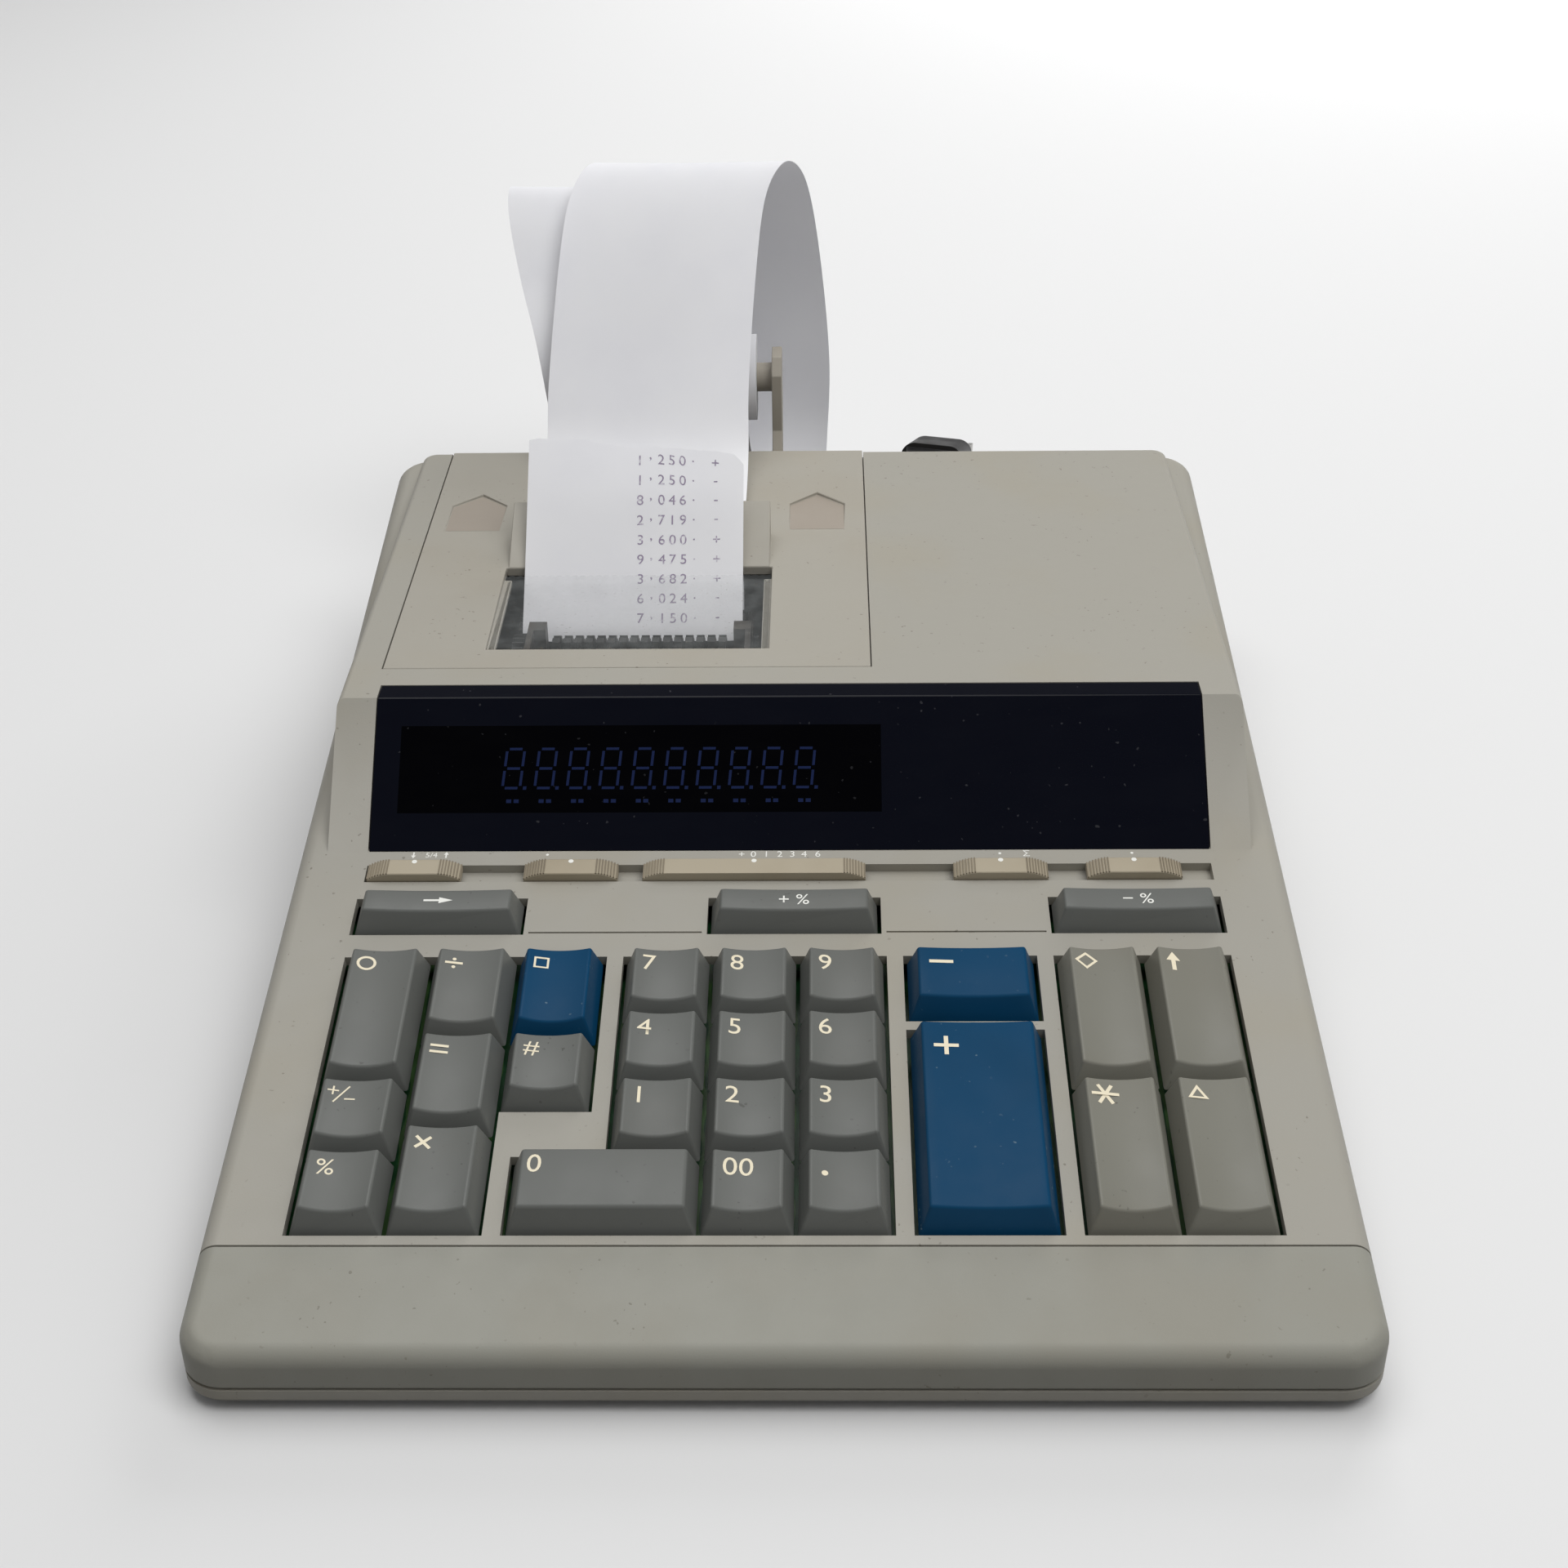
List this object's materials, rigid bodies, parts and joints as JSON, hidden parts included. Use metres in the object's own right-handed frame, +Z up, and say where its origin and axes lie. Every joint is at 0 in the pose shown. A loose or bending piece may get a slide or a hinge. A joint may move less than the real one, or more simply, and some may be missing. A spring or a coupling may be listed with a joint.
{
  "type": "desktop printing calculator",
  "caption": "Desktop printing calculator with a sloping key deck, slide selectors, a dark display lens and a roll-fed tape printer under a sliding cover.",
  "frame": {"origin": "on the desk under the middle of the machine's box, cord left out", "axes": "+Z up, +Y from the front of the machine to its rear, +X to the user's right"},
  "size_m": [0.2276, 0.4167, 0.1262],
  "materials": {
    "case_plastic": "fine texture",
    "grey_keys": "satin",
    "warm_keys": "satin",
    "blue_keys": "satin",
    "selector_plastic": "satin",
    "clear_window": "clear",
    "dark_lens": "gloss",
    "tube_glass": "gloss",
    "circuit_board": "satin",
    "black_plastic": "satin",
    "iron_core": "satin",
    "dark_steel": "satin",
    "brass_gear": "machined",
    "black_rubber": "matte",
    "ink_sponge": "matte",
    "paper": "matte",
    "screw_steel": "plated"
  },
  "bodies": {
    "machine": {"case_screws": "screw_steel", "cord_coil": "black_rubber", "display_lens": "dark_lens", "display_tube": "tube_glass", "key_switches": "black_plastic", "keyboard_board": "circuit_board", "lower_case": "case_plastic", "mains_plug": "black_rubber", "palm_rest": "case_plastic", "paper_arm": "case_plastic", "paper_web": "paper", "power_cord": "black_rubber", "printed_tape": "paper", "printer_frame": "dark_steel", "printer_motor": "dark_steel", "rubber_feet": "black_rubber", "strain_relief": "black_rubber", "transformer": "iron_core", "upper_case": "case_plastic"},
    "cover": {"printer_cover": "case_plastic", "tear_window": "clear_window"},
    "print_wheels": {"print_wheels": "black_plastic"},
    "platen": {"platen_roller": "black_rubber"},
    "ink_roller": {"ink_roller": "ink_sponge"},
    "motor_pinion": {"motor_pinion": "brass_gear"},
    "paper_roll": {"paper_roll": "paper"},
    "key_0": {"key_0": "grey_keys"},
    "key_00": {"key_00": "grey_keys"},
    "key_1": {"key_1": "grey_keys"},
    "key_2": {"key_2": "grey_keys"},
    "key_3": {"key_3": "grey_keys"},
    "key_4": {"key_4": "grey_keys"},
    "key_5": {"key_5": "grey_keys"},
    "key_6": {"key_6": "grey_keys"},
    "key_7": {"key_7": "grey_keys"},
    "key_8": {"key_8": "grey_keys"},
    "key_9": {"key_9": "grey_keys"},
    "key_change": {"key_change": "grey_keys"},
    "key_clear_all": {"key_clear_all": "grey_keys"},
    "key_clear_entry": {"key_clear_entry": "blue_keys"},
    "key_divide": {"key_divide": "grey_keys"},
    "key_equals": {"key_equals": "grey_keys"},
    "key_item_count": {"key_item_count": "grey_keys"},
    "key_markup": {"key_markup": "grey_keys"},
    "key_minus": {"key_minus": "blue_keys"},
    "key_multiply": {"key_multiply": "grey_keys"},
    "key_no_add": {"key_no_add": "warm_keys"},
    "key_paper_feed": {"key_paper_feed": "warm_keys"},
    "key_percent": {"key_percent": "grey_keys"},
    "key_plus": {"key_plus": "blue_keys"},
    "key_point": {"key_point": "grey_keys"},
    "key_shift_right": {"key_shift_right": "grey_keys"},
    "key_sign": {"key_sign": "grey_keys"},
    "key_subtotal": {"key_subtotal": "warm_keys"},
    "key_total": {"key_total": "warm_keys"},
    "selector_rounding": {"selector_rounding": "selector_plastic"},
    "selector_print": {"selector_print": "selector_plastic"},
    "selector_decimal": {"selector_decimal": "selector_plastic"},
    "selector_sigma": {"selector_sigma": "selector_plastic"},
    "selector_grand_total": {"selector_grand_total": "selector_plastic"}
  },
  "joints": [
    {"name": "key_0_press", "type": "slide", "parent": "machine", "child": "key_0", "axis": [0, 0.1392, -0.9903], "range_m": [0, 0.0035], "stiffness_N_per_m": 200},
    {"name": "key_00_press", "type": "slide", "parent": "machine", "child": "key_00", "axis": [0, 0.1392, -0.9903], "range_m": [0, 0.0035], "stiffness_N_per_m": 200},
    {"name": "key_1_press", "type": "slide", "parent": "machine", "child": "key_1", "axis": [0, 0.1392, -0.9903], "range_m": [0, 0.0035], "stiffness_N_per_m": 200},
    {"name": "key_2_press", "type": "slide", "parent": "machine", "child": "key_2", "axis": [0, 0.1392, -0.9903], "range_m": [0, 0.0035], "stiffness_N_per_m": 200},
    {"name": "key_3_press", "type": "slide", "parent": "machine", "child": "key_3", "axis": [0, 0.1392, -0.9903], "range_m": [0, 0.0035], "stiffness_N_per_m": 200},
    {"name": "key_4_press", "type": "slide", "parent": "machine", "child": "key_4", "axis": [0, 0.1392, -0.9903], "range_m": [0, 0.0035], "stiffness_N_per_m": 200},
    {"name": "key_5_press", "type": "slide", "parent": "machine", "child": "key_5", "axis": [0, 0.1392, -0.9903], "range_m": [0, 0.0035], "stiffness_N_per_m": 200},
    {"name": "key_6_press", "type": "slide", "parent": "machine", "child": "key_6", "axis": [0, 0.1392, -0.9903], "range_m": [0, 0.0035], "stiffness_N_per_m": 200},
    {"name": "key_7_press", "type": "slide", "parent": "machine", "child": "key_7", "axis": [0, 0.1392, -0.9903], "range_m": [0, 0.0035], "stiffness_N_per_m": 200},
    {"name": "key_8_press", "type": "slide", "parent": "machine", "child": "key_8", "axis": [0, 0.1392, -0.9903], "range_m": [0, 0.0035], "stiffness_N_per_m": 200},
    {"name": "key_9_press", "type": "slide", "parent": "machine", "child": "key_9", "axis": [0, 0.1392, -0.9903], "range_m": [0, 0.0035], "stiffness_N_per_m": 200},
    {"name": "key_change_press", "type": "slide", "parent": "machine", "child": "key_change", "axis": [0, 0.1392, -0.9903], "range_m": [0, 0.0035], "stiffness_N_per_m": 200},
    {"name": "key_clear_all_press", "type": "slide", "parent": "machine", "child": "key_clear_all", "axis": [0, 0.1392, -0.9903], "range_m": [0, 0.0035], "stiffness_N_per_m": 200},
    {"name": "key_clear_entry_press", "type": "slide", "parent": "machine", "child": "key_clear_entry", "axis": [0, 0.1392, -0.9903], "range_m": [0, 0.0035], "stiffness_N_per_m": 200},
    {"name": "key_divide_press", "type": "slide", "parent": "machine", "child": "key_divide", "axis": [0, 0.1392, -0.9903], "range_m": [0, 0.0035], "stiffness_N_per_m": 200},
    {"name": "key_equals_press", "type": "slide", "parent": "machine", "child": "key_equals", "axis": [0, 0.1392, -0.9903], "range_m": [0, 0.0035], "stiffness_N_per_m": 200},
    {"name": "key_item_count_press", "type": "slide", "parent": "machine", "child": "key_item_count", "axis": [0, 0.1392, -0.9903], "range_m": [0, 0.0035], "stiffness_N_per_m": 200},
    {"name": "key_markup_press", "type": "slide", "parent": "machine", "child": "key_markup", "axis": [0, 0.1392, -0.9903], "range_m": [0, 0.0035], "stiffness_N_per_m": 200},
    {"name": "key_minus_press", "type": "slide", "parent": "machine", "child": "key_minus", "axis": [0, 0.1392, -0.9903], "range_m": [0, 0.0035], "stiffness_N_per_m": 200},
    {"name": "key_multiply_press", "type": "slide", "parent": "machine", "child": "key_multiply", "axis": [0, 0.1392, -0.9903], "range_m": [0, 0.0035], "stiffness_N_per_m": 200},
    {"name": "key_no_add_press", "type": "slide", "parent": "machine", "child": "key_no_add", "axis": [0, 0.1392, -0.9903], "range_m": [0, 0.0035], "stiffness_N_per_m": 200},
    {"name": "key_paper_feed_press", "type": "slide", "parent": "machine", "child": "key_paper_feed", "axis": [0, 0.1392, -0.9903], "range_m": [0, 0.0035], "stiffness_N_per_m": 200},
    {"name": "key_percent_press", "type": "slide", "parent": "machine", "child": "key_percent", "axis": [0, 0.1392, -0.9903], "range_m": [0, 0.0035], "stiffness_N_per_m": 200},
    {"name": "key_plus_press", "type": "slide", "parent": "machine", "child": "key_plus", "axis": [0, 0.1392, -0.9903], "range_m": [0, 0.0035], "stiffness_N_per_m": 200},
    {"name": "key_point_press", "type": "slide", "parent": "machine", "child": "key_point", "axis": [0, 0.1392, -0.9903], "range_m": [0, 0.0035], "stiffness_N_per_m": 200},
    {"name": "key_shift_right_press", "type": "slide", "parent": "machine", "child": "key_shift_right", "axis": [0, 0.1392, -0.9903], "range_m": [0, 0.0035], "stiffness_N_per_m": 200},
    {"name": "key_sign_press", "type": "slide", "parent": "machine", "child": "key_sign", "axis": [0, 0.1392, -0.9903], "range_m": [0, 0.0035], "stiffness_N_per_m": 200},
    {"name": "key_subtotal_press", "type": "slide", "parent": "machine", "child": "key_subtotal", "axis": [0, 0.1392, -0.9903], "range_m": [0, 0.0035], "stiffness_N_per_m": 200},
    {"name": "key_total_press", "type": "slide", "parent": "machine", "child": "key_total", "axis": [0, 0.1392, -0.9903], "range_m": [0, 0.0035], "stiffness_N_per_m": 200},
    {"name": "selector_rounding_slide", "type": "slide", "parent": "machine", "child": "selector_rounding", "axis": [1, 0, 0], "range_m": [0, 0.0076]},
    {"name": "selector_print_slide", "type": "slide", "parent": "machine", "child": "selector_print", "axis": [1, 0, 0], "range_m": [-0.0055, 0]},
    {"name": "selector_decimal_slide", "type": "slide", "parent": "machine", "child": "selector_decimal", "axis": [1, 0, 0], "range_m": [-0.003, 0.018]},
    {"name": "selector_sigma_slide", "type": "slide", "parent": "machine", "child": "selector_sigma", "axis": [1, 0, 0], "range_m": [0, 0.0064]},
    {"name": "selector_grand_total_slide", "type": "slide", "parent": "machine", "child": "selector_grand_total", "axis": [1, 0, 0], "range_m": [0, 0.0064]},
    {"name": "cover_slide", "type": "slide", "parent": "machine", "child": "cover", "axis": [0, 1, 0], "range_m": [0, 0.008], "deforming": ["paper_web", "printed_tape"]},
    {"name": "print_wheels_spin", "type": "hinge", "parent": "machine", "child": "print_wheels", "pos_m": [-0.0385, 0.01103, 0.042], "axis": [1, 0, 0], "continuous": true},
    {"name": "platen_spin", "type": "hinge", "parent": "machine", "child": "platen", "pos_m": [-0.0385, 0.02783, 0.042], "axis": [1, 0, 0], "continuous": true},
    {"name": "ink_roller_spin", "type": "hinge", "parent": "machine", "child": "ink_roller", "pos_m": [-0.0385, -0.00477, 0.042], "axis": [1, 0, 0], "continuous": true},
    {"name": "motor_pinion_spin", "type": "hinge", "parent": "machine", "child": "motor_pinion", "pos_m": [-0.0385, 0.01103, 0.0288], "axis": [1, 0, 0], "continuous": true},
    {"name": "paper_roll_spin", "type": "hinge", "parent": "machine", "child": "paper_roll", "pos_m": [-0.0385, 0.13503, 0.072], "axis": [1, 0, 0], "continuous": true}
  ],
  "couplings": [
    {"joint": "platen_spin", "follows": "print_wheels_spin", "ratio": -1.3333},
    {"joint": "motor_pinion_spin", "follows": "print_wheels_spin", "ratio": -2.6667},
    {"joint": "ink_roller_spin", "follows": "print_wheels_spin", "ratio": -1.5833}
  ]
}
